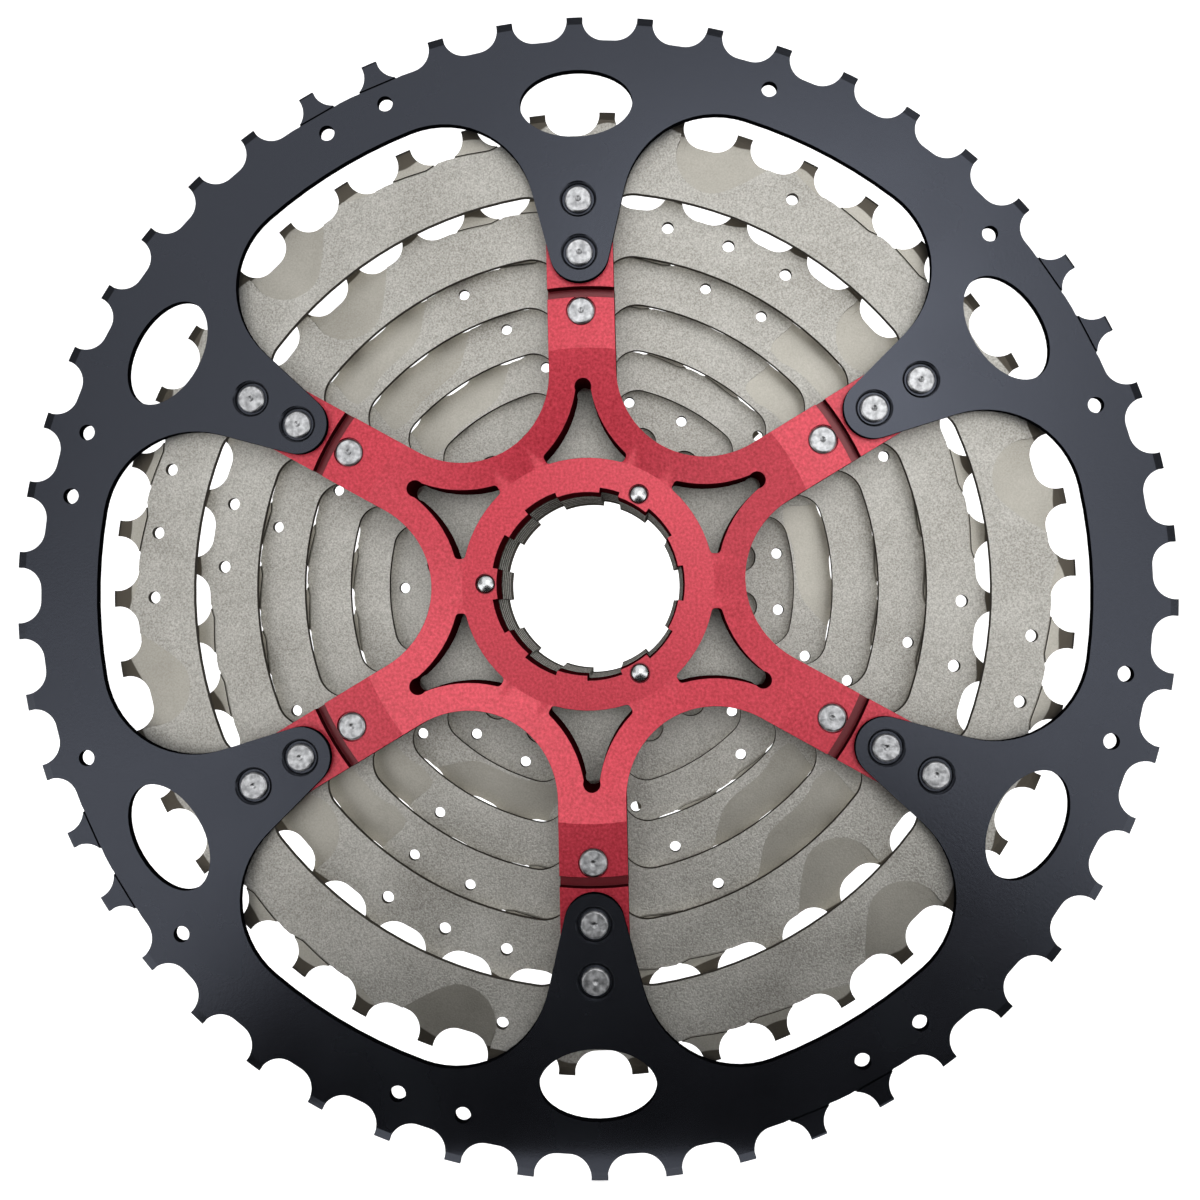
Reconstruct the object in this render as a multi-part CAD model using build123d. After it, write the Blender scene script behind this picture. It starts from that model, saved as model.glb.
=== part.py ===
"""Eleven-speed bicycle cassette, 11 to 50 teeth, for a nine-spline freehub body.

Units are millimetres. The spin axis is Y and +Y points outboard, towards the
smallest sprocket. The origin is on the axis, on the face of the spider hub
that rests against the shoulder of the freehub body.
"""
import os
from math import cos, degrees, pi, radians, sin, sqrt, tan

from build123d import *

# ---- chain and tooth form --------------------------------------------------
CHAIN_PITCH = 12.7
GULLET_HALF_WIDTH = 4.95   # the gap between two teeth has parallel sides
GULLET_CORNER_R = 3.9      # where its sides meet its flat floor
GULLET_DROP = 3.75         # gullet floor below the pitch circle
TIP_RISE = 0.7             # flat tooth tip above the pitch circle
TIP_BEVEL_RADIAL = 1.5     # radial length of the bevel on each tooth face
TIP_BEVEL_AXIAL = 0.45

# ---- stack along the axis --------------------------------------------------
SPROCKET_PITCH = 3.9       # from one sprocket to the next
STEEL_THICK = 1.6
PLATE_THICK = 2.0          # aluminium 50-tooth sprocket
SHOULDER_OVERHANG = 5.4    # 50-tooth rear face behind the freehub shoulder
LOCKRING_LIP = 0.6         # raised lip that the lockring presses on
HUB_FACE = 0.0             # the spider rests on the freehub shoulder here

TEETH = [50, 42, 36, 32, 28, 24, 21, 18, 15, 13, 11]
LAST_PINNED = 15           # the long pins end in this sprocket

# ---- angles about the axis, degrees ----------------------------------------
ARM_COUNT = 6
ARM_STEP = 360 / ARM_COUNT
FIRST_ARM = 30.0
FREEHUB_CLOCK = -1.0       # splines and long pins against the arms
PHASE = {50: 3.57, 42: 0.59, 36: 6.08, 32: -0.39, 28: 3.95, 24: 10.3,
         21: 8.3, 18: 4.0, 15: 2.0, 13: 6.0, 11: 9.0}

# ---- freehub splines -------------------------------------------------------
SPLINE_MAJOR_R = 17.3
SPLINE_MINOR_R = 16.4
SPLINE_COUNT = 9
SPLINE_WIDTH_DEG = 21.0
NARROW_SPLINE = 2          # index of the one narrow notch
NARROW_WIDTH_DEG = 12.0
NARROW_SHIFT_DEG = -3.5

# ---- 50-tooth plate --------------------------------------------------------
PLATE_RIM_R = 87.3         # outer edge of the six windows
WINDOW_CORNER_R = 16.5
PLATE_TIP_R = 5.3          # rounded end of each plate arm
PLATE_ARM_TAPER = 14.0     # degrees between arm side and arm centre line
OVAL_CENTRE_R = 85.9
OVAL_HALF_WIDTH = 10.1
OVAL_HALF_HEIGHT = 6.1
PIN_HOLE_CIRCLE_R = 93.7

# ---- riveted rings ---------------------------------------------------------
RING_INNER_R = {42: 71.0, 36: 60.5, 32: 52.6, 28: 44.8, 24: 38.1}
RIVET_CIRCLE_R = {42: 68.5, 36: 58.9, 32: 48.7}
TAB_TIP_R = 4.9            # rounded end of each inward tab
RING_FILLET_R = 5.4

# ---- splined sprockets -----------------------------------------------------
SPOKE_HALF_WIDTH = 5.3
SPOKED_HUB_R = {28: 25.5, 24: 24.5}
SPOKE_FILLET_R = 4.4
SPOKE_SLOT_CENTRE_R = 38.3
SPOKE_SLOT_LENGTH = 4.4
SPOKE_SLOT_WIDTH = 5.6
SPOKE_SLOT_CORNER_R = 1.0
LIGHTENING_CIRCLE_R = 29.0
LIGHTENING_HOLE_R = 2.7
LIGHTENING_SPREAD_DEG = 9.2

# ---- small balance and shift holes ----------------------------------------
HOLE_CIRCLE_R = {50: PIN_HOLE_CIRCLE_R, 42: 78.25, 36: 66.65, 32: 58.65,
                 28: 50.45, 24: 42.2, 21: 35.8}
HOLE_R = {50: 1.4, 42: 1.1, 36: 1.1, 32: 1.0, 28: 1.0, 24: 1.0, 21: 1.0}
HOLE_TEETH = {
    50: [2, 5, 9, 15, 16, 22, 23, 27, 30, 34, 35, 41, 42, 47, 48],
    42: [7, 19, 20, 21, 30, 40, 41],
    36: [5, 6, 7, 16, 17, 23, 24, 25, 34, 35],
    32: [2, 5, 6, 10, 15, 18, 21, 22, 26, 31],
    28: [8, 12, 18, 22, 26],
    24: [2, 6, 14, 18, 20, 22],
    21: [0, 3, 4, 10, 13, 14, 18, 20],
}

# ---- shift gates: shallow steps across teeth, rear faces --------------------
GATE_TEETH = {50: [3, 4, 15, 16, 28, 29, 40, 41],
              42: [5, 6, 12, 13, 19, 20, 26, 27, 33, 34, 40, 41],
              36: [0, 1, 9, 10, 18, 19, 27, 28],
              32: [0, 1, 7, 8, 9, 15, 16, 17, 23, 24, 25, 31],
              28: [0, 6, 7, 13, 14, 20, 21, 27],
              24: [3, 4, 11, 12, 19, 20]}
GATE_DEPTH = 0.35
GATE_GROOVE_WIDTH = 0.45   # relief along the foot of the step
GATE_GROOVE_DEPTH = 0.9
# The foot of a gate: how far it lies below the gullet floor, and at what share
# of half a tooth pitch from the tooth's centre line.
GATE_FOOT = [(0.0, 0.85), (0.4, 0.2), (0.75, -0.45), (0.4, -0.7), (-0.1, -0.9)]
SHALLOW_FOOT = [(0.0, 0.85), (0.15, -0.45), (-0.1, -0.9)]
SHALLOW_GATES = [50]
# A smaller relief on one flank of the tooth after each pair of gates.
RELIEF_TEETH = {42: [0, 7, 14, 21, 28, 35]}
RELIEF_FOOT = [(-1.9, 0.4), (-1.1, 0.1), (-0.2, -0.35), (0.3, -0.8)]

# ---- coined ramps, rear faces ----------------------------------------------
RAMP_GAPS = {42: [1, 8, 15, 22, 29, 36], 36: [3, 12, 21, 30],
             32: [3, 11, 19, 27], 28: [2, 9, 16, 23], 24: [7, 15, 23]}
RAMP_DEPTH = 0.12          # at the lower edge, growing towards the tips
RAMP_TILT = 3.5            # degrees
RAMP_FOOT = 7.0            # from the gullet floor in to where that depth is met
DISHED_RAMPS = [42, 36]    # these have a second, deeper level inside
LEVEL_DEPTH = 0.3
DISH_SHARE = 0.84          # size of that level against the whole dish
DISH_MIDDLE = -3.0         # the level shrinks towards this point of the floor circle
# Lower edge of a ramp: distance along the gullet floor circle from the middle
# of the gap, and distance outward from that circle.
DISH_EDGE = [(-12.4, 0.6), (-9.4, -2.7), (-6.2, -5.7), (-3.2, -7.5),
             (0.0, -7.4), (2.7, -5.9), (4.5, -3.4), (4.9, 0.6)]
SLIDE_EDGE = [(-12.0, 0.6), (-8.3, -2.8), (-5.0, -5.4), (-1.5, -6.2),
              (4.0, -6.3), (7.6, -7.0), (10.2, -7.4), (11.8, -5.8),
              (12.2, -3.5), (12.6, 0.6)]

# ---- spider ----------------------------------------------------------------
ARM_HALF_WIDTH = 6.0
ARM_END_CORNER_R = 2.0
WEB_CIRCLE_CENTRE_R = 44.0     # centre of the round gap between two arms
WEB_CIRCLE_R = 16.0
WEB_WIDTH = 4.9                # web between the gap and the triangle opening
BOSS_R = 22.6
TRIANGLE_APEX_R = 1.5
TRIANGLE_APEX_CENTRE_R = 35.2
TRIANGLE_CORNER_R = 0.7
DISH_START_R = 42.0            # the rear face is flat outside this radius
GROOVE_INNER_R = 51.2
GROOVE_WIDTH = 1.9
GROOVE_DEPTH = 2.6
STEP_CLEARANCE = 0.3           # between a tab's end and the next step
SPIDER_END_R = RIVET_CIRCLE_R[42] + TAB_TIP_R

# ---- fasteners -------------------------------------------------------------
RIVET_SHANK_R = 1.5
RIVET_HEAD_R = 2.45
RIVET_HEAD_THICK = 0.95
RIVET_TAIL_R = 2.1
RIVET_TAIL_THICK = 0.6
RIVET_DIMPLE_R = 0.55
RIVET_DIMPLE_DEPTH = 0.25
SEAT_WALL_R = 2.85             # recess around a rivet head in the plate
SEAT_RIM_R = 3.3
SEAT_DEPTH = 0.85
SPIDER_SEAT_R = 2.65
SPIDER_SEAT_DEPTH = 0.7
HOLE_CLEARANCE = 0.05
RIVET_EDGE = 0.3               # bevel round a rivet's head and tail
LONG_PIN_CIRCLE_R = 18.4
LONG_PIN_COUNT = 3
FIRST_LONG_PIN = 60.0          # angle from the first spline notch
LONG_PIN_R = 1.2
LONG_PIN_HEAD_R = 1.65
LONG_PIN_HEAD_THICK = 1.1
LONG_PIN_SEAT_R = 1.8
LONG_PIN_DOME = 0.5            # rise of the head's dome

# ---- spacers ---------------------------------------------------------------
SPACER_CLEARANCE = 0.2
SPACER_INNER_R = SPLINE_MAJOR_R + SPACER_CLEARANCE
SPACER_OUTER_R = {28: 21.6, 24: 21.6, 21: 21.6, 18: 21.6, 15: 20.9}

# ---- 11-tooth sprocket -----------------------------------------------------
BOSS_11T_R = 19.3              # its own spacer, made in one with it
LIP_11T_R = 18.7

PAST = 1.0                     # how far a cutting shape runs past a face


# ---- positions along the axis ----------------------------------------------
def centre_y(teeth):
    first = -SHOULDER_OVERHANG + PLATE_THICK / 2
    return first + TEETH.index(teeth) * SPROCKET_PITCH


def thickness(teeth):
    return PLATE_THICK if teeth == TEETH[0] else STEEL_THICK


def rear_y(teeth):
    return centre_y(teeth) - thickness(teeth) / 2


def front_y(teeth):
    return centre_y(teeth) + thickness(teeth) / 2


def pitch_radius(teeth):
    return CHAIN_PITCH / (2 * sin(pi / teeth))


def floor_radius(teeth):
    return pitch_radius(teeth) - GULLET_DROP


def tooth_angle(teeth, index):
    return PHASE[teeth] + index * 360 / teeth


# ---- drawing helpers: sketches lie in X and Z, solids grow towards +Y ------
def slab(sketch, y0, y1):
    """Extrude a flat sketch, drawn as X right and Y up, from y0 to y1."""
    flat = extrude(sketch, amount=y1 - y0)
    upright = flat.rotate(Axis.X, 90)
    return upright.moved(Location((0, y1, 0)))


def turned(points):
    """Turn a closed profile of (radius, y) points about the spin axis."""
    profile = make_face(Polyline(*[(r, y, 0) for r, y in points], close=True))
    return revolve(profile, Axis.Y, 360)


def rod(radius, y0, y1):
    return slab(Circle(radius), y0, y1)


def at_polar(shape, radius, angle):
    """Move a shape from the axis to a radius and an angle, turned with it."""
    return shape.moved(Location((radius, 0, 0))).rotate(Axis.Y, -angle)


def arm_angles():
    return [FIRST_ARM + i * ARM_STEP for i in range(ARM_COUNT)]


def arms(sketch_along_x):
    """Copy a sketch that points along X to the six arm angles."""
    return [sketch_along_x.rotate(Axis.Z, angle) for angle in arm_angles()]


def rounded(opening, corner_radius):
    """Round every outward corner of an opening by shrinking and regrowing."""
    shrunk = offset(opening, amount=-corner_radius, kind=Kind.ARC)
    return offset(shrunk, amount=corner_radius, kind=Kind.ARC)


# ---- freehub bore ----------------------------------------------------------
def sector(radius, centre_deg, width_deg):
    reach = radius + PAST
    rise = reach * tan(radians(width_deg / 2))
    wedge = Polyline((0, 0), (reach, rise), (reach, -rise), close=True)
    face = make_face(wedge) & Circle(radius)
    return face.rotate(Axis.Z, centre_deg)


def spline_bore():
    bore = Circle(SPLINE_MINOR_R)
    for i in range(SPLINE_COUNT):
        centre = FREEHUB_CLOCK + i * 360 / SPLINE_COUNT
        width = SPLINE_WIDTH_DEG
        if i == NARROW_SPLINE:
            centre += NARROW_SHIFT_DEG
            width = NARROW_WIDTH_DEG
        bore += sector(SPLINE_MAJOR_R, centre, width)
    return bore


# ---- toothed blank ---------------------------------------------------------
def toothed_outline(teeth):
    outline = Circle(pitch_radius(teeth) + TIP_RISE)
    one = gullet().moved(Location((floor_radius(teeth), 0)))
    return outline - [one.rotate(Axis.Z, a) for a in gap_angles(teeth)]


def gullet():
    """Gap between two teeth, along X from its floor to past the tips."""
    length = GULLET_DROP + TIP_RISE + GULLET_CORNER_R + PAST
    return RectangleRounded(length, 2 * GULLET_HALF_WIDTH, GULLET_CORNER_R,
                            align=(Align.MIN, Align.CENTER))


def gap_angles(teeth):
    return [tooth_angle(teeth, i + 0.5) for i in range(teeth)]


def bevelled_disc(teeth):
    """Disc with both faces bevelled at the tooth tips."""
    tip = pitch_radius(teeth) + TIP_RISE
    y0, y1 = rear_y(teeth), front_y(teeth)
    inner = tip - TIP_BEVEL_RADIAL
    return turned([(0, y0), (inner, y0), (tip, y0 + TIP_BEVEL_AXIAL),
                   (tip, y1 - TIP_BEVEL_AXIAL), (inner, y1), (0, y1)])


def sprocket(teeth, inner_cut):
    """Toothed sprocket with an inner shape removed, its holes and gates."""
    outline = toothed_outline(teeth) - inner_cut
    for index in HOLE_TEETH.get(teeth, []):
        angle = tooth_angle(teeth, index)
        spot = Location((HOLE_CIRCLE_R[teeth] * cos(radians(angle)),
                         HOLE_CIRCLE_R[teeth] * sin(radians(angle))))
        outline -= Circle(HOLE_R[teeth]).moved(spot)
    body = slab(outline, rear_y(teeth), front_y(teeth)) & bevelled_disc(teeth)
    for face, depth in gate_faces(teeth):
        body -= slab(face, rear_y(teeth) - PAST, rear_y(teeth) + depth)
    for tool in ramp_tools(teeth):
        for index in RAMP_GAPS[teeth]:
            body -= tool.rotate(Axis.Y, -tooth_angle(teeth, index + 0.5))
    return body


# ---- gates and ramps -------------------------------------------------------
def polar_points(pairs):
    return [(r * cos(radians(a)), r * sin(radians(a))) for r, a in pairs]


def across_tooth(teeth, foot, width):
    """Region of one tooth, at angle zero, from a foot line outward."""
    half_pitch = 180 / teeth
    inner = [(floor_radius(teeth) - drop, share * half_pitch)
             for drop, share in foot]
    outer = [(r + width, a) for r, a in reversed(inner)]
    return make_face(Polyline(*polar_points(inner + outer), close=True))


def at_teeth(face, teeth, indexes):
    turned_faces = [face.rotate(Axis.Z, tooth_angle(teeth, i)) for i in indexes]
    return joined(turned_faces)


def gate_faces(teeth):
    """Regions to sink and their depths: each gate, its groove, its relief."""
    if teeth not in GATE_TEETH:
        return []
    foot = SHALLOW_FOOT if teeth in SHALLOW_GATES else GATE_FOOT
    step = across_tooth(teeth, foot, 2 * GULLET_DROP)
    groove = across_tooth(teeth, foot, GATE_GROOVE_WIDTH)
    faces = [(at_teeth(step, teeth, GATE_TEETH[teeth]), GATE_DEPTH),
             (at_teeth(groove, teeth, GATE_TEETH[teeth]), GATE_GROOVE_DEPTH)]
    if teeth in RELIEF_TEETH:
        relief = across_tooth(teeth, RELIEF_FOOT, 2 * GULLET_DROP)
        faces.append((at_teeth(relief, teeth, RELIEF_TEETH[teeth]), GATE_DEPTH))
    return faces


def above_edge(teeth, edge):
    """Region at angle zero from a smooth edge line to past the tooth tips."""
    floor_r = floor_radius(teeth)
    line = [(floor_r + out, degrees(along / (floor_r + out)))
            for along, out in edge]
    past_tips = floor_r + 2 * GULLET_DROP
    rest = [line[-1], (past_tips, line[-1][1]), (past_tips, line[0][1]), line[0]]
    return make_face([Spline(*polar_points(line)),
                      Polyline(*polar_points(rest))])


def tilted_cut(teeth, face, depth):
    """Cut at angle zero whose floor tilts, deeper towards the tooth tips."""
    y0 = rear_y(teeth)
    whole = slab(face, y0 - PAST, y0 + thickness(teeth) + PAST)
    size = 2 * pitch_radius(teeth)
    tilted = Box(size, size, size, align=(Align.CENTER, Align.MAX, Align.CENTER))
    tilted = tilted.rotate(Axis.Z, RAMP_TILT)
    return whole & tilted.moved(Location((floor_radius(teeth) - RAMP_FOOT, y0 + depth, 0)))


def ramp_tools(teeth):
    """Cutters at angle zero: the ramp and, where it has one, its deeper level."""
    if teeth not in RAMP_GAPS:
        return []
    if teeth not in DISHED_RAMPS:
        return [tilted_cut(teeth, above_edge(teeth, SLIDE_EDGE), RAMP_DEPTH)]
    level = [(DISH_MIDDLE + DISH_SHARE * (along - DISH_MIDDLE), DISH_SHARE * out)
             for along, out in DISH_EDGE]
    return [tilted_cut(teeth, above_edge(teeth, DISH_EDGE), RAMP_DEPTH),
            tilted_cut(teeth, above_edge(teeth, level), LEVEL_DEPTH)]


# ---- 50-tooth plate --------------------------------------------------------
def plate_arm():
    """One arm along X: a round end at the inner rivet, widening outward."""
    taper = radians(PLATE_ARM_TAPER)
    end_r = RIVET_CIRCLE_R[36]
    touch = (end_r - PLATE_TIP_R * sin(taper), PLATE_TIP_R * cos(taper))
    length = PLATE_RIM_R + PAST - touch[0]
    far = (touch[0] + length, touch[1] + length * tan(taper))
    side = Polyline(touch, far, (far[0], -far[1]), (touch[0], -touch[1]),
                    close=True)
    return make_face(side) + Circle(PLATE_TIP_R).moved(Location((end_r, 0)))


def plate_windows():
    cut = Circle(PLATE_RIM_R)
    for arm in arms(plate_arm()):
        cut -= arm
    return rounded(cut, WINDOW_CORNER_R)


def make_sprocket_50t():
    body = sprocket(50, plate_windows())
    y0, y1 = rear_y(50), front_y(50)
    oval = Ellipse(OVAL_HALF_HEIGHT, OVAL_HALF_WIDTH)
    cutter = slab(oval, y0 - PAST, y1 + PAST)
    for angle in arm_angles():
        body -= at_polar(cutter, OVAL_CENTRE_R, angle)
    for circle_r in (RIVET_CIRCLE_R[42], RIVET_CIRCLE_R[36]):
        for angle in arm_angles():
            body -= at_polar(rivet_hole(y0, y1), circle_r, angle)
            body -= at_polar(rivet_seat(y0, SEAT_DEPTH), circle_r, angle)
    return body


# ---- riveted steel rings ---------------------------------------------------
def ring_cut(teeth):
    """The opening of a ring with six tabs that reach inward to the rivets."""
    cut = Circle(RING_INNER_R[teeth])
    circle_r = RIVET_CIRCLE_R[teeth]
    reach = RING_INNER_R[teeth] + PAST - circle_r
    shank = Rectangle(reach, 2 * TAB_TIP_R, align=(Align.MIN, Align.CENTER))
    tab = (shank + Circle(TAB_TIP_R)).moved(Location((circle_r, 0)))
    for arm in arms(tab):
        cut -= arm
    return rounded(cut, RING_FILLET_R)


def make_ring(teeth):
    body = sprocket(teeth, ring_cut(teeth))
    hole = rivet_hole(rear_y(teeth), front_y(teeth))
    for angle in arm_angles():
        body -= at_polar(hole, RIVET_CIRCLE_R[teeth], angle)
    return body


# ---- splined sprockets -----------------------------------------------------
def spoke_windows(teeth):
    cut = Circle(RING_INNER_R[teeth]) - Circle(SPOKED_HUB_R[teeth])
    reach = RING_INNER_R[teeth] + PAST
    spoke = Rectangle(reach, 2 * SPOKE_HALF_WIDTH,
                      align=(Align.MIN, Align.CENTER))
    for arm in arms(spoke):
        cut -= arm
    return rounded(cut, SPOKE_FILLET_R)


def spoke_slots():
    slot = Rectangle(SPOKE_SLOT_LENGTH, SPOKE_SLOT_WIDTH)
    slot = fillet(slot.vertices(), SPOKE_SLOT_CORNER_R)
    return arms(slot.moved(Location((SPOKE_SLOT_CENTRE_R, 0))))


def long_pin_angles():
    step = 360 / LONG_PIN_COUNT
    first = FREEHUB_CLOCK + FIRST_LONG_PIN
    return [first + i * step for i in range(LONG_PIN_COUNT)]


def long_pin_holes():
    hole = Circle(LONG_PIN_R + HOLE_CLEARANCE)
    hole = hole.moved(Location((LONG_PIN_CIRCLE_R, 0)))
    return [hole.rotate(Axis.Z, angle) for angle in long_pin_angles()]


def lightening_holes():
    hole = Circle(LIGHTENING_HOLE_R).moved(Location((LIGHTENING_CIRCLE_R, 0)))
    turns = [FIRST_ARM + ARM_STEP / 2 + i * ARM_STEP + side
             for i in range(ARM_COUNT)
             for side in (-LIGHTENING_SPREAD_DEG, LIGHTENING_SPREAD_DEG)]
    return [hole.rotate(Axis.Z, turn) for turn in turns]


def joined(cuts):
    total = cuts[0]
    for cut in cuts[1:]:
        total += cut
    return total


def make_splined(teeth):
    cuts = [spline_bore()]
    if teeth in SPOKED_HUB_R:
        cuts.append(spoke_windows(teeth))
    if teeth == 28:
        cuts += spoke_slots()
    if teeth == 21:
        cuts += lightening_holes()
    if teeth >= LAST_PINNED:
        cuts += long_pin_holes()
    return sprocket(teeth, joined(cuts))


def make_sprocket_11t():
    """Smallest sprocket, with its own spacer boss and the lockring lip."""
    bore = spline_bore()
    body = sprocket(11, bore)
    boss = slab(Circle(BOSS_11T_R) - bore, front_y(13), rear_y(11))
    lip = slab(Circle(LIP_11T_R) - bore, front_y(11),
               front_y(11) + LOCKRING_LIP)
    return body + boss + lip


# ---- spacers ---------------------------------------------------------------
def make_spacer(inboard_teeth):
    """Ring between two sprockets; long pins run through the fixed ones."""
    outboard_teeth = TEETH[TEETH.index(inboard_teeth) + 1]
    outline = Circle(SPACER_OUTER_R[inboard_teeth]) - Circle(SPACER_INNER_R)
    if outboard_teeth >= LAST_PINNED:
        for hole in long_pin_holes():
            outline -= hole
    return slab(outline, front_y(inboard_teeth), rear_y(outboard_teeth))


# ---- spider ----------------------------------------------------------------
def arm_outline():
    bar = Rectangle(SPIDER_END_R, 2 * ARM_HALF_WIDTH,
                    align=(Align.MIN, Align.CENTER))
    end_corners = bar.vertices().sort_by(Axis.X)[-2:]
    return fillet(end_corners, ARM_END_CORNER_R)


def web_gap():
    """Round gap between two arms, centred between them."""
    return Circle(WEB_CIRCLE_R).moved(Location((WEB_CIRCLE_CENTRE_R, 0)))


def triangle_opening():
    """Opening on an arm's centre line, with two hollow sides."""
    spread = radians(ARM_STEP / 2)
    start = WEB_WIDTH / sin(spread)
    rise = (TRIANGLE_APEX_CENTRE_R - start) * tan(spread)
    wedge = Polyline((start, 0), (TRIANGLE_APEX_CENTRE_R, rise),
                     (TRIANGLE_APEX_CENTRE_R, -rise), close=True)
    body = make_face(wedge) - Circle(BOSS_R)
    side = Circle(WEB_CIRCLE_R + WEB_WIDTH)
    side = side.moved(Location((WEB_CIRCLE_CENTRE_R, 0)))
    body -= side.rotate(Axis.Z, ARM_STEP / 2)
    body -= side.rotate(Axis.Z, -ARM_STEP / 2)
    apex = Circle(TRIANGLE_APEX_R).moved(Location((TRIANGLE_APEX_CENTRE_R, 0)))
    return rounded(body + apex, TRIANGLE_CORNER_R)


def spider_outline():
    touch_r = WEB_CIRCLE_CENTRE_R * cos(radians(ARM_STEP / 2))
    outline = Circle(sqrt(touch_r ** 2 + ARM_HALF_WIDTH ** 2))
    for arm in arms(arm_outline()):
        outline += arm
    for i in range(ARM_COUNT):
        turn = FIRST_ARM + ARM_STEP / 2 + i * ARM_STEP
        outline -= web_gap().rotate(Axis.Z, turn)
    for opening in arms(triangle_opening()):
        outline -= opening
    return outline


def step_radius(teeth):
    return RIVET_CIRCLE_R[teeth] - TAB_TIP_R - STEP_CLEARANCE


def spider_envelope():
    """Turned shape: dished at the rear, stepped where each ring sits."""
    rear = front_y(50)
    groove_outer = GROOVE_INNER_R + GROOVE_WIDTH
    seat_28 = rear_y(28)
    profile = [
        (0, HUB_FACE), (BOSS_R, HUB_FACE),
        (DISH_START_R, rear),
        (GROOVE_INNER_R, rear), (GROOVE_INNER_R, rear + GROOVE_DEPTH),
        (groove_outer, rear + GROOVE_DEPTH), (groove_outer, rear),
        (SPIDER_END_R + PAST, rear),
        (SPIDER_END_R + PAST, rear_y(42)), (step_radius(42), rear_y(42)),
        (step_radius(42), rear_y(36)), (step_radius(36), rear_y(36)),
        (step_radius(36), rear_y(32)), (step_radius(32), rear_y(32)),
        (step_radius(32), seat_28), (0, seat_28),
    ]
    return turned(profile)


def make_spider():
    blank = slab(spider_outline() - spline_bore(), front_y(50), rear_y(28))
    body = blank & spider_envelope()
    for teeth in (42, 36, 32):
        hole = rivet_hole(front_y(50), rear_y(28))
        for angle in arm_angles():
            body -= at_polar(hole, RIVET_CIRCLE_R[teeth], angle)
    arm_face = front_y(50)
    seat = rod(SPIDER_SEAT_R, arm_face - PAST, arm_face + SPIDER_SEAT_DEPTH)
    for angle in arm_angles():
        body -= at_polar(seat, RIVET_CIRCLE_R[32], angle)
    pin_hole = rod(LONG_PIN_R + HOLE_CLEARANCE, HUB_FACE - PAST, rear_y(28) + PAST)
    pin_seat = rod(LONG_PIN_SEAT_R, HUB_FACE - PAST, HUB_FACE + LONG_PIN_HEAD_THICK)
    for angle in long_pin_angles():
        body -= at_polar(pin_hole, LONG_PIN_CIRCLE_R, angle)
        body -= at_polar(pin_seat, LONG_PIN_CIRCLE_R, angle)
    return body


# ---- rivets and pins -------------------------------------------------------
def rivet_hole(y0, y1):
    return rod(RIVET_SHANK_R + HOLE_CLEARANCE, y0 - PAST, y1 + PAST)


def rivet_seat(face_y, depth):
    """Recess with a bevelled rim, open towards the rear."""
    rim = SEAT_RIM_R - SEAT_WALL_R
    return turned([(0, face_y - PAST), (SEAT_RIM_R + PAST, face_y - PAST),
                   (SEAT_RIM_R, face_y), (SEAT_WALL_R, face_y + rim),
                   (SEAT_WALL_R, face_y + depth), (0, face_y + depth)])


def rivet(seat_y, tail_y):
    """Headed at the rear with a small dimple, upset over the front sheet."""
    top = seat_y - RIVET_HEAD_THICK
    return turned([
        (0, top + RIVET_DIMPLE_DEPTH), (RIVET_DIMPLE_R, top),
        (RIVET_HEAD_R - RIVET_EDGE, top), (RIVET_HEAD_R, top + RIVET_EDGE),
        (RIVET_HEAD_R, seat_y), (RIVET_SHANK_R, seat_y),
        (RIVET_SHANK_R, tail_y), (RIVET_TAIL_R, tail_y),
        (RIVET_TAIL_R - RIVET_EDGE, tail_y + RIVET_TAIL_THICK),
        (0, tail_y + RIVET_TAIL_THICK)])


def make_rivets(teeth):
    """Six equal rivets that hold one ring's tabs."""
    seat_y = rear_y(50) + SEAT_DEPTH
    if teeth == 32:
        seat_y = front_y(50) + SPIDER_SEAT_DEPTH
    one = rivet(seat_y, front_y(teeth))
    circle_r = RIVET_CIRCLE_R[teeth]
    return Compound(children=[at_polar(one, circle_r, a) for a in arm_angles()])


def domed_pin(seat_y, tail_y):
    """Plain shank under a head with a spherical dome."""
    rim_y = seat_y - LONG_PIN_HEAD_THICK + LONG_PIN_DOME
    ball_r = (LONG_PIN_HEAD_R ** 2 + LONG_PIN_DOME ** 2) / (2 * LONG_PIN_DOME)
    ball = Sphere(ball_r).moved(Location((0, rim_y - LONG_PIN_DOME + ball_r, 0)))
    head = rod(LONG_PIN_HEAD_R, rim_y - LONG_PIN_DOME, seat_y) & ball
    return head + rod(LONG_PIN_R, seat_y, tail_y)


def make_long_pins():
    """Three pins that clamp the splined sprockets to the spider."""
    seat_y = HUB_FACE + LONG_PIN_HEAD_THICK
    tail_y = front_y(LAST_PINNED)
    one = domed_pin(seat_y, tail_y)
    pins = [at_polar(one, LONG_PIN_CIRCLE_R, a) for a in long_pin_angles()]
    return Compound(children=pins)


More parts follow.
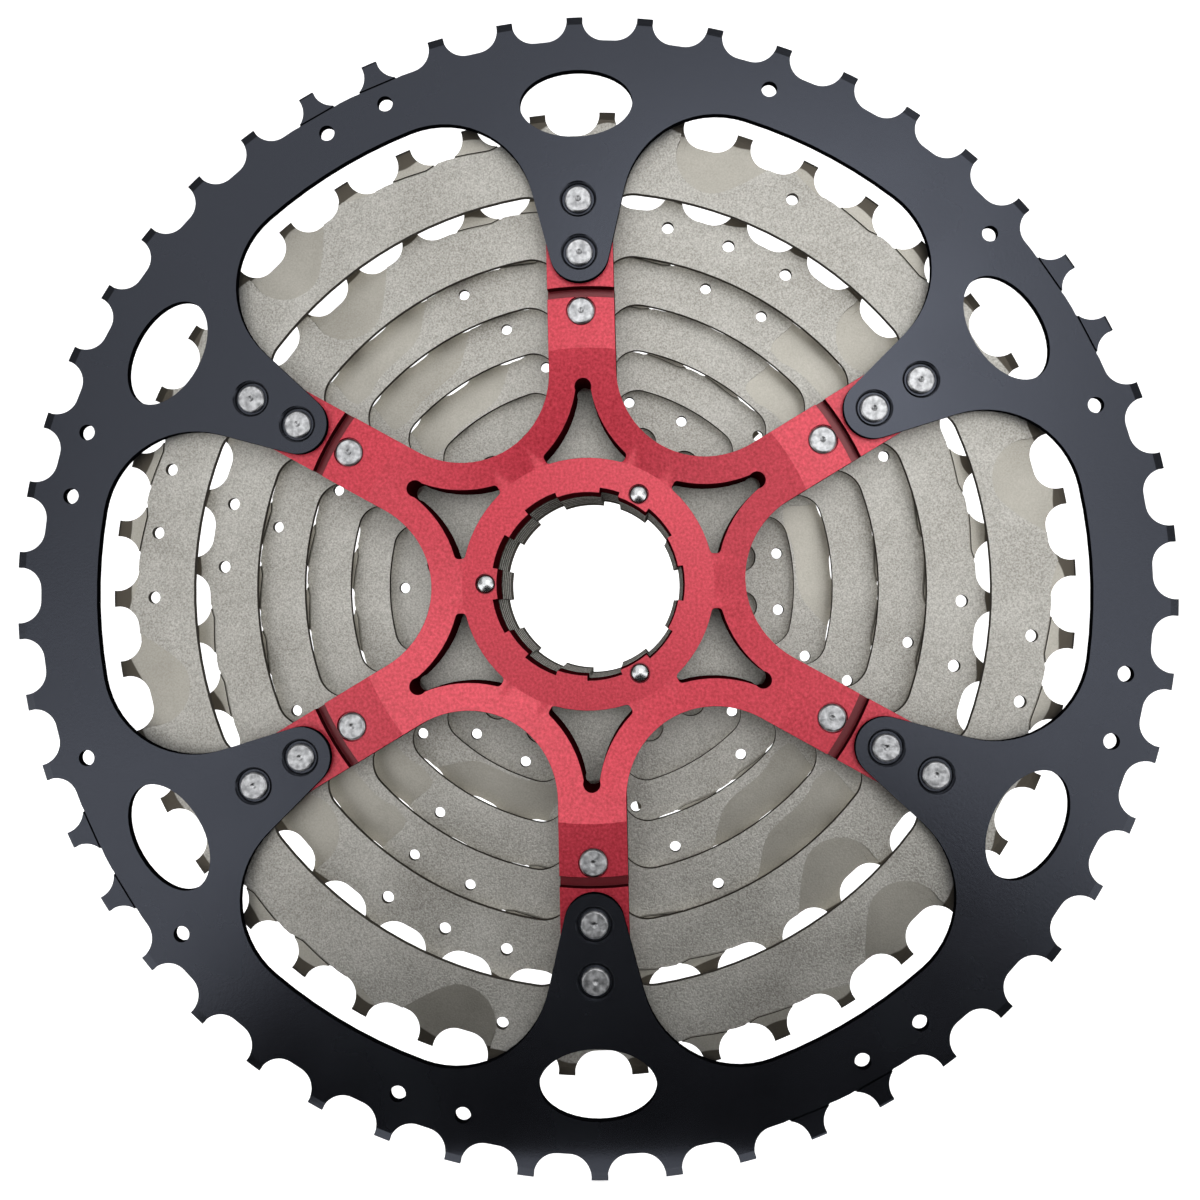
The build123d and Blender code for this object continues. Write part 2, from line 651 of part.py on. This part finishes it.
# ---- build -----------------------------------------------------------------
def all_parts():
    return {
        "sprocket_50t": make_sprocket_50t,
        "sprocket_42t": lambda: make_ring(42),
        "sprocket_36t": lambda: make_ring(36),
        "sprocket_32t": lambda: make_ring(32),
        "sprocket_28t": lambda: make_splined(28),
        "sprocket_24t": lambda: make_splined(24),
        "sprocket_21t": lambda: make_splined(21),
        "sprocket_18t": lambda: make_splined(18),
        "sprocket_15t": lambda: make_splined(15),
        "sprocket_13t": lambda: make_splined(13),
        "sprocket_11t": make_sprocket_11t,
        "spider": make_spider,
        "spacer_28t_24t": lambda: make_spacer(28),
        "spacer_24t_21t": lambda: make_spacer(24),
        "spacer_21t_18t": lambda: make_spacer(21),
        "spacer_18t_15t": lambda: make_spacer(18),
        "loose_spacer_15t_13t": lambda: make_spacer(15),
        "outer_rivets": lambda: make_rivets(42),
        "middle_rivets": lambda: make_rivets(36),
        "inner_rivets": lambda: make_rivets(32),
        "long_pins": make_long_pins,
    }


os.makedirs("parts", exist_ok=True)
for name, make in all_parts().items():
    shape = make()
    export_step(shape, "parts/" + name + ".step")
    print(name, "solids", len(shape.solids()), "volume", round(shape.volume, 1))
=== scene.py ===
from math import pi, radians, sin

import bpy
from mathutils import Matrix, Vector


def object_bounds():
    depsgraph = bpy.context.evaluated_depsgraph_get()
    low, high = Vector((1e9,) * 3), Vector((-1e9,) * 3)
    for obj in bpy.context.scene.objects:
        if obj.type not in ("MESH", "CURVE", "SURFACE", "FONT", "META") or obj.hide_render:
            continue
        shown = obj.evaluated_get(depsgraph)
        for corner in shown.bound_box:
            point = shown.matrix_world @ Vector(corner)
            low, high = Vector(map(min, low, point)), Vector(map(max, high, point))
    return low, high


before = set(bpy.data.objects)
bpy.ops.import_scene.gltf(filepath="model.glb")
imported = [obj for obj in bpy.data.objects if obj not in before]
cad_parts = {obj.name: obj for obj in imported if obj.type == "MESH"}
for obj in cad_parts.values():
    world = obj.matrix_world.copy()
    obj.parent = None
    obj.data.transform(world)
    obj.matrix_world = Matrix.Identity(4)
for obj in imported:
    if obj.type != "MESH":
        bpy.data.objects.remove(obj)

cad_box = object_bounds()


# ---- spider -----------------------------------------------------------------
# Six-arm carrier milled from one aluminium plate, bead blasted and then anodised red.
# It slides on the freehub by the notches of its bore and carries every other piece.

def colour(hex_code):
    """Turns an sRGB hex colour into the linear values that a shader takes."""
    channels = [int(hex_code[i:i + 2], 16) / 255 for i in (1, 3, 5)]
    linear = [c / 12.92 if c <= 0.04045 else ((c + 0.055) / 1.055) ** 2.4 for c in channels]
    return (*linear, 1.0)


def add(tree, kind, settings=None, links=None):
    """Adds one shader node, sets its values and sockets, and links its inputs."""
    node = tree.nodes.new(kind)
    for name, value in (settings or {}).items():
        if isinstance(name, str) and hasattr(node, name):
            setattr(node, name, value)
        else:
            node.inputs[name].default_value = value
    for name, source in (links or {}).items():
        tree.links.new(source, node.inputs[name])
    return node


def new_material(name):
    """Returns a material, its empty node tree and the object coordinates in it."""
    material = bpy.data.materials.new(name)
    material.use_nodes = True
    tree = material.node_tree
    tree.nodes.clear()
    place = add(tree, "ShaderNodeTexCoord").outputs["Object"]
    return material, tree, place


def set_surface(tree, settings, links):
    """Adds the surface shader and links it to the material's output."""
    surface = add(tree, "ShaderNodeBsdfPrincipled", settings, links)
    add(tree, "ShaderNodeOutputMaterial", {}, {"Surface": surface.outputs["BSDF"]})


def noise(tree, place, size_mm, detail, roughness=0.5):
    """Noise with grains of a real size in millimetres."""
    per_metre = 1000 / size_mm
    return add(tree, "ShaderNodeTexNoise",
               {"Scale": per_metre, "Detail": detail, "Roughness": roughness},
               {"Vector": place}).outputs["Fac"]


def maths(tree, operation, *values):
    """One Math node. Each value is a number or a socket."""
    settings, links = {"operation": operation}, {}
    for index, value in enumerate(values):
        (settings if isinstance(value, (int, float)) else links)[index] = value
    return add(tree, "ShaderNodeMath", settings, links).outputs["Value"]


def spread(tree, value, low, high, start=0.0, end=1.0):
    """Maps a value from start..end to low..high, and holds it there outside."""
    return add(tree, "ShaderNodeMapRange",
               {"From Min": start, "From Max": end, "To Min": low, "To Max": high},
               {"Value": value}).outputs["Result"]


def mix_colours(tree, share, first, second):
    """The first colour at share 0, the second at 1. Each is a hex code or a socket."""
    settings, links = {"data_type": "RGBA"}, {"Factor": share}
    socket_a, socket_b, result = 6, 7, 2
    for socket, value in ((socket_a, first), (socket_b, second)):
        if isinstance(value, str):
            settings[socket] = colour(value)
        else:
            links[socket] = value
    return add(tree, "ShaderNodeMix", settings, links).outputs[result]


def bump(tree, height, strength, depth_mm):
    """Shading relief of a real depth. Its strength is a number or a socket."""
    settings, links = {"Distance": depth_mm / 1000}, {"Height": height}
    (settings if isinstance(strength, float) else links)["Strength"] = strength
    return add(tree, "ShaderNodeBump", settings, links).outputs["Normal"]


def axis_value(tree, vector, axis):
    """One coordinate of a place or a normal."""
    return add(tree, "ShaderNodeSeparateXYZ", {}, {"Vector": vector}).outputs[axis]


def flat_share(tree):
    """1 on the flat faces across the spin axis, 0 on the walls that run along it."""
    normal = add(tree, "ShaderNodeTexCoord").outputs["Normal"]
    across = maths(tree, "ABSOLUTE", axis_value(tree, normal, "Y"))
    # The share rises from faces that lean by 73 degrees to faces that lean by 37.
    return spread(tree, across, 0.0, 1.0, start=0.3, end=0.8)


def distance_from_spin_axis(tree, place):
    """Radius in metres. The cassette spins about the Y axis."""
    across = add(tree, "ShaderNodeVectorMath", {"operation": "MULTIPLY", 1: (1, 0, 1)},
                 {0: place})
    return add(tree, "ShaderNodeVectorMath", {"operation": "LENGTH"},
               {0: across.outputs["Vector"]}).outputs["Value"]


def groove_share(tree, place):
    """1 on the groove floors 2.6 mm below the arm faces, outside the dished middle."""
    floor_y, tolerance = -0.0008, 0.0003
    dish_radius = 0.0435
    deep = maths(tree, "COMPARE", axis_value(tree, place, "Y"), floor_y, tolerance)
    outside = maths(tree, "GREATER_THAN", distance_from_spin_axis(tree, place), dish_radius)
    return maths(tree, "MULTIPLY", deep, outside)


def bead_blasted_red_anodising():
    # Bead blasting leaves round dimples about 0.1 mm wide, drawn at 0.5 mm so that they show.
    # The dyed oxide over bright metal gives a deep red under a pale sheen. The milled walls
    # are painted far darker as shade, since the light falls from the front and passes them by.
    # The floors of the grooves across the arms are duller where the blast missed them, and are
    # painted darker still as shade inside the grooves.
    material, tree, place = new_material("bead_blasted_red_anodising")
    dimples = noise(tree, place, 0.5, 3.0)
    dye = noise(tree, place, 9, 2.0)
    speckle = spread(tree, dimples, 0.0, 1.0, start=0.25, end=0.75)
    blasted = mix_colours(tree, speckle, "#AB1D2D", "#DA3D51")
    # Painted shade: the groove floors are darkened past their duller unblasted finish, for the
    # shade inside the grooves.
    groove_floors_shaded = mix_colours(tree, groove_share(tree, place), blasted, "#700C1A")
    flat = flat_share(tree)
    # Painted shade: the walls that run along the spin axis take a dark red for the little
    # light they catch.
    set_surface(tree, {"Coat Roughness": 0.25},
                {"Base Color": mix_colours(tree, flat, "#4C0D14", groove_floors_shaded),
                 "Roughness": spread(tree, dye, 0.38, 0.46),
                 "Metallic": maths(tree, "MULTIPLY", flat, 0.9),
                 "Specular IOR Level": maths(tree, "MULTIPLY", flat, 0.5),
                 "Coat Weight": maths(tree, "MULTIPLY", flat, 0.8),
                 "Normal": bump(tree, dimples, 0.6, 0.04)})
    return material


def broken_edges(obj, width_mm, whole_flats):
    """Rounds the sharp edges slightly and keeps flat faces flat in the shading."""
    obj.modifiers.new("one_skin", "WELD").merge_threshold = 1e-6
    if whole_flats:
        flats = obj.modifiers.new("whole_flats", "DECIMATE")
        flats.decimate_type = "DISSOLVE"
        flats.angle_limit = radians(0.05)
    bevel = obj.modifiers.new("broken_edges", "BEVEL")
    bevel.width = width_mm / 1000
    bevel.segments = 2
    bevel.limit_method = "ANGLE"
    bevel.angle_limit = radians(35)
    crisp = obj.modifiers.new("crisp_slopes", "EDGE_SPLIT")
    crisp.split_angle = radians(7)
    crisp.use_edge_sharp = False
    shading = obj.modifiers.new("flat_faces_stay_flat", "WEIGHTED_NORMAL")
    shading.thresh = 0.001


def dress(node, material, edge_mm, whole_flats=True):
    """Gives a CAD node its material and its broken edges."""
    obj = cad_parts[node]
    obj.data.materials.clear()
    obj.data.materials.append(material)
    broken_edges(obj, edge_mm, whole_flats)


dress("spider", bead_blasted_red_anodising(), edge_mm=0.25)


# ---- steel sprockets ----------------------------------------------------------
# Ten sprockets stamped from 1.6 mm steel sheet, blasted and nickel plated. The three largest
# are rings riveted to the spider's arms, the rest slide on the freehub by their own bores.

def coined_share(tree, place):
    """1 on faces sunk by 0.07 to 1.07 mm below a rear face, 0 elsewhere."""
    first_rear_y, rear_face_step = -0.0013, 0.0039
    margin = 0.0005  # keeps the rear faces clear of the point where the remainder wraps
    middle_depth, half_range = 0.00057, 0.0005
    raised = maths(tree, "ADD", axis_value(tree, place, "Y"), margin - first_rear_y)
    past_rear_face = maths(tree, "FLOORED_MODULO", raised, rear_face_step)
    return maths(tree, "COMPARE", past_rear_face, margin + middle_depth, half_range)


def tip_share(tree, place, teeth):
    """1 on the outer 2 to 3 mm of the teeth, with an uneven border."""
    chain_pitch, past_pitch_circle = 0.0127, 0.0007
    tip_radius = chain_pitch / (2 * sin(pi / teeth)) + past_pitch_circle
    border, half_blend, unevenness = tip_radius - 0.0005, 0.0001, 0.004
    reach = maths(tree, "MULTIPLY_ADD", noise(tree, place, 7, 0.0), unevenness,
                  distance_from_spin_axis(tree, place))
    return spread(tree, reach, 0.0, 1.0, start=border - half_blend, end=border + half_blend)


def blasted_nickel_plate(teeth):
    # Grit blasting under thin nickel gives a neutral grey with bright grains, drawn at 0.3 mm,
    # and the plating bath leaves cloudy stains over it. The coining of the shift ramps irons
    # the blast nearly flat. The outer 2 to 3 mm of the teeth are painted dark as shade, where
    # the next larger sprocket shades them and their tip facets turn from the light. The
    # sheared walls are painted dark as shade, since the light falls from the front and passes
    # them by.
    material, tree, place = new_material(f"blasted_nickel_plated_steel_{teeth}t")
    grains = noise(tree, place, 0.3, 2.0, roughness=0.6)
    clouds = noise(tree, place, 12, 5.0)
    coined = maths(tree, "MULTIPLY", coined_share(tree, place), 0.7)
    sparkle = spread(tree, grains, -0.4, 0.4, start=0.3, end=0.7)
    blasted = mix_colours(tree, maths(tree, "ADD", clouds, sparkle), "#94918A", "#D1CFC9")
    pressed = mix_colours(tree, clouds, "#9A968C", "#BFBBB0")
    plated = mix_colours(tree, coined, blasted, pressed)
    # Painted shade on the outer teeth, where the next larger sprocket shades them and the tip
    # facets turn from the light.
    tips_with_painted_shade = mix_colours(tree, tip_share(tree, place, teeth), plated, "#57524A")
    flat = flat_share(tree)
    socket_a, socket_b, coined_roughness = 2, 3, 0.4
    gloss = add(tree, "ShaderNodeMix", {socket_b: coined_roughness},
                {"Factor": coined, socket_a: spread(tree, clouds, 0.4, 0.54)}).outputs[0]
    relief = maths(tree, "MULTIPLY", spread(tree, coined, 0.8, 0.15), flat)
    # Painted shade: the walls that run along the spin axis take a dark grey.
    set_surface(tree, {},
                {"Base Color": mix_colours(tree, flat, "#57534D", tips_with_painted_shade), "Roughness": gloss,
                 "Metallic": flat, "Specular IOR Level": maths(tree, "MULTIPLY", flat, 0.5),
                 "Normal": bump(tree, grains, relief, 0.06)})
    return material


for teeth in (42, 36, 32, 28, 24, 21, 18, 15, 13):
    dress(f"sprocket_{teeth}t", blasted_nickel_plate(teeth), edge_mm=0.18)
# The narrow flat lip of the 11 doesn't merge cleanly, so this one keeps its facets.
dress("sprocket_11t", blasted_nickel_plate(11), edge_mm=0.18, whole_flats=False)


# ---- largest sprocket ---------------------------------------------------------
# One 2 mm aluminium plate with six arms, machined, tumbled and anodised satin black. Its arms
# lie on the spider's arms and are riveted through them to the steel rings.

def satin_black_anodising():
    # Tumbled aluminium under black dyed oxide: near black with a bluish satin sheen on the
    # flats, and a faint grain of about 0.5 mm with handling marks over it.
    material, tree, place = new_material("satin_black_anodising")
    grain = noise(tree, place, 0.5, 2.0)
    smears = noise(tree, place, 22, 5.0)
    set_surface(tree, {"IOR": 1.7, "Specular Tint": colour("#DCE4FA")},
                {"Base Color": mix_colours(tree, smears, "#060607", "#0B0C0F"),
                 "Roughness": spread(tree, smears, 0.18, 0.34),
                 "Specular IOR Level": maths(tree, "MULTIPLY", flat_share(tree), 0.5),
                 "Normal": bump(tree, grain, 0.4, 0.03)})
    return material


dress("sprocket_50t", satin_black_anodising(), edge_mm=0.2)


# ---- rivets and long pins -----------------------------------------------------
# Headed steel rivets, bright zinc plated, upset through the arms and rings. The three long
# pins clamp the inner sprockets and spacers to the spider.

def bright_zinc_plate():
    # Zinc over a cold-headed blank: bright and slightly blue, with dull scuffs 1 mm across
    # where the riveting tool pressed.
    material, tree, place = new_material("bright_zinc_plated_steel")
    scuffs = noise(tree, place, 1.1, 4.0)
    dull = spread(tree, scuffs, 0.0, 1.0, start=0.35, end=0.65)
    set_surface(tree, {"Metallic": 1.0},
                {"Base Color": mix_colours(tree, dull, "#8C8D8F", "#D6D7D9"),
                 "Roughness": spread(tree, scuffs, 0.25, 0.5),
                 "Normal": bump(tree, scuffs, 0.8, 0.1)})
    return material


zinc = bright_zinc_plate()
for node in ("outer_rivets", "middle_rivets", "inner_rivets"):
    dress(node, zinc, edge_mm=0.08)


def burnished_steel():
    # The pins' domes are burnished by the heading tool: bright, with faint 0.6 mm scuffs.
    material, tree, place = new_material("burnished_steel")
    scuffs = noise(tree, place, 0.6, 3.0)
    set_surface(tree, {"Metallic": 1.0, "Roughness": 0.24},
                {"Base Color": mix_colours(tree, scuffs, "#C4C5C7", "#EDEEEF")})
    return material


dress("long_pins", burnished_steel(), edge_mm=0.08)


# ---- spacers ------------------------------------------------------------------
# Five rings moulded in black glass-filled nylon, which keep the small sprockets apart. The
# long pins hold four of them. The fifth is loose and slides off with the 13 and the 11.

def moulded_black_nylon():
    # Glass-filled nylon: dull black with a fine spark-eroded mould texture of about 0.3 mm.
    material, tree, place = new_material("moulded_black_nylon")
    texture = noise(tree, place, 0.3, 2.0)
    set_surface(tree, {"Roughness": 0.6},
                {"Base Color": mix_colours(tree, texture, "#151515", "#242424"),
                 "Normal": bump(tree, texture, 0.3, 0.03)})
    return material


nylon = moulded_black_nylon()
for node in ("spacer_28t_24t", "spacer_24t_21t", "spacer_21t_18t", "spacer_18t_15t",
             "loose_spacer_15t_13t"):
    dress(node, nylon, edge_mm=0.15)


# ---- floor, light and camera --------------------------------------------------
# The cassette stands on its largest sprocket on a white sheet, in front of a white backdrop
# and among five soft boxes. Reflections alone show the black card that lies before it, which
# darkens the lower part of the largest sprocket.

def white_to_the_eye(tree, lift):
    """Light path switch: 1 for rays that see the background, times the lift."""
    path = add(tree, "ShaderNodeLightPath").outputs
    seen = maths(tree, "MAXIMUM", path["Is Camera Ray"], path["Is Glossy Ray"])
    seen = maths(tree, "MAXIMUM", seen, path["Is Transmission Ray"])
    return maths(tree, "MULTIPLY", seen, lift)


def white_paper(lift):
    # Matt white paper with fibres of about 1 mm.
    material, tree, place = new_material("white_paper")
    fibre = noise(tree, place, 10 / 9, 2.0)
    set_surface(tree, {"Roughness": 0.9, "Emission Color": (1, 1, 1, 1)},
                {"Base Color": mix_colours(tree, fibre, "#F4F4F4", "#F8F8F8"),
                 "Emission Strength": white_to_the_eye(tree, lift)})
    return material


def sheet(name, size, place, tilt, material):
    """A flat square of card or paper that belongs to the studio."""
    bpy.ops.mesh.primitive_plane_add(size=size, location=place, rotation=(tilt, 0, 0))
    obj = bpy.context.object
    obj.name = name
    obj.data.materials.append(material)
    return obj


floor_level = cad_box[0][2]
sheet("floor", 8, (0, 0, floor_level - 0.0002), 0, white_paper(lift=0.8))
sheet("backdrop", 8, (0, 1.6, floor_level), radians(90), white_paper(lift=0.85))


def matt_black_card():
    material, tree, _ = new_material("black_card")
    set_surface(tree, {"Base Color": colour("#0A0A0A"), "Roughness": 0.9}, {})
    return material


card = sheet("black_card", 1, (0.02, -0.565, floor_level + 0.001), 0, matt_black_card())
card.scale = (0.24, 1.1, 1)
card.visible_camera = card.visible_diffuse = card.visible_shadow = False

world = bpy.data.worlds.new("white_room")
bpy.context.scene.world = world
world.use_nodes = True
sky = world.node_tree
sky.nodes.clear()
# The room lights the object at a fifth of the white that the eye sees behind it.
room_light, room_seen = 0.2, 1.0
eye_ray = add(sky, "ShaderNodeLightPath").outputs["Is Camera Ray"]
room = add(sky, "ShaderNodeBackground", {"Color": (1, 1, 1, 1)},
           {"Strength": spread(sky, eye_ray, room_light, room_seen)})
add(sky, "ShaderNodeOutputWorld", {}, {"Surface": room.outputs[0]})


def soft_box(name, place, size, watts):
    """A square area lamp at a place in metres, aimed at the middle of the object."""
    lamp = bpy.data.lights.new(name, "AREA")
    lamp.shape = "SQUARE"
    lamp.size = size
    lamp.energy = watts
    obj = bpy.data.objects.new(name, lamp)
    bpy.context.scene.collection.objects.link(obj)
    obj.location = place
    obj.rotation_euler = (-Vector(place)).to_track_quat("-Z", "Y").to_euler()


soft_box("key_box", (0.1, -1.15, 0.35), size=1.6, watts=6.8)
soft_box("front_box", (0.14, -1.0, 0.2), size=0.36, watts=0.75)
soft_box("back_box", (-0.4, 1.0, 0.8), size=1.0, watts=3.6)
soft_box("left_box", (-1.3, 0.35, 0.3), size=1.0, watts=8.0)
soft_box("right_box", (1.3, 0.35, 0.3), size=1.0, watts=8.0)

camera = bpy.data.cameras.new("camera")
camera.lens = 44.535
camera.shift_x = 0.0302
camera.shift_y = -0.0825
eye = bpy.data.objects.new("camera", camera)
bpy.context.scene.collection.objects.link(eye)
eye.location = (0.00926, -0.26564, -0.00373)
eye.rotation_euler = (radians(94.005), radians(1.234), radians(2.938))
bpy.context.scene.camera = eye
bpy.context.scene.view_settings.view_transform = "Standard"
